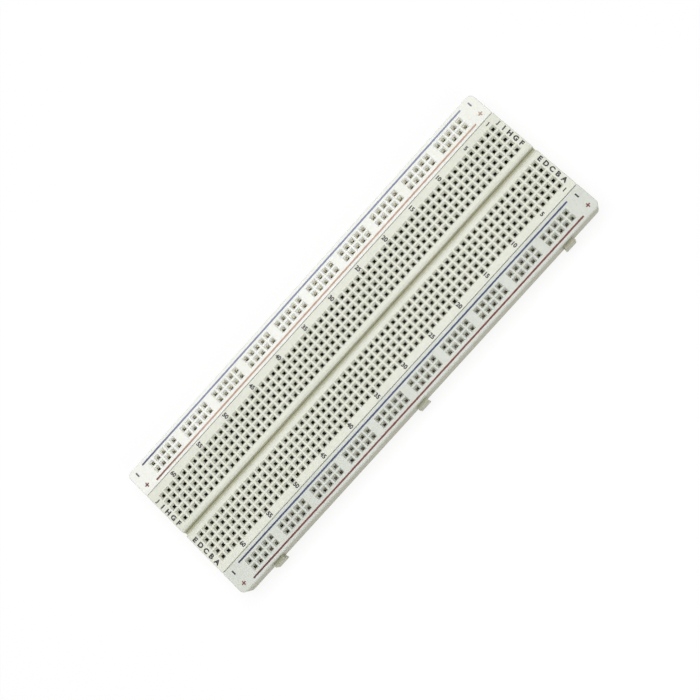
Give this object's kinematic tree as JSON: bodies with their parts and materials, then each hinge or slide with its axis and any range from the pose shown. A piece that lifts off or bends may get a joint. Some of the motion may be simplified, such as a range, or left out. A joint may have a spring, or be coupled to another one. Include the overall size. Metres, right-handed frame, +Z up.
{
  "type": "solderless breadboard",
  "caption": "Solderless breadboard: a grid of square tie points over sprung contacts, split by a central channel, with a power rail clipped to each long side.",
  "frame": {"origin": "centre of the face that the board rests on, midway along and across the three strips, without the dovetail tabs", "axes": "+X along the board towards column 1, +Y across it towards row J, +Z up out of the tie points"},
  "size_m": [0.165, 0.056, 0.0096],
  "materials": {
    "moulding": "off-white moulded ABS, fine satin texture",
    "contact": "nickel-plated spring sheet",
    "foam": "closed-cell adhesive foam tape, cream",
    "liner": "waxed kraft release paper",
    "ink_black": "pad-printed black ink",
    "ink_blue": "pad-printed blue ink",
    "ink_red": "pad-printed red ink"
  },
  "bodies": {
    "power_rail_j": {"power_rail_j_body": "moulding", "bus_strip_j_inner": "contact", "bus_strip_j_outer": "contact", "foam_pad_rail_j": "foam", "release_liner_rail_j": "liner"},
    "terminal_strip": {"terminal_strip_body": "moulding", "spring_clips_a_to_e_1": "contact", "spring_clips_f_to_j_1": "contact", "spring_clips_a_to_e_2": "contact", "spring_clips_f_to_j_2": "contact", "spring_clips_a_to_e_3": "contact", "spring_clips_f_to_j_3": "contact", "spring_clips_a_to_e_4": "contact", "spring_clips_f_to_j_4": "contact", "spring_clips_a_to_e_5": "contact", "spring_clips_f_to_j_5": "contact", "spring_clips_a_to_e_6": "contact", "spring_clips_f_to_j_6": "contact", "spring_clips_a_to_e_7": "contact", "spring_clips_f_to_j_7": "contact", "foam_pad_terminal": "foam", "release_liner_terminal": "liner"},
    "power_rail_a": {"power_rail_a_body": "moulding", "bus_strip_a_inner": "contact", "bus_strip_a_outer": "contact", "foam_pad_rail_a": "foam", "release_liner_rail_a": "liner"}
  },
  "joints": [
    {"name": "terminal_strip_lift", "type": "slide", "parent": "power_rail_j", "child": "terminal_strip", "axis": [0, 0, 1], "range_m": [0, 0.012]},
    {"name": "power_rail_a_lift", "type": "slide", "parent": "terminal_strip", "child": "power_rail_a", "axis": [0, 0, 1], "range_m": [0, 0.012]}
  ]
}
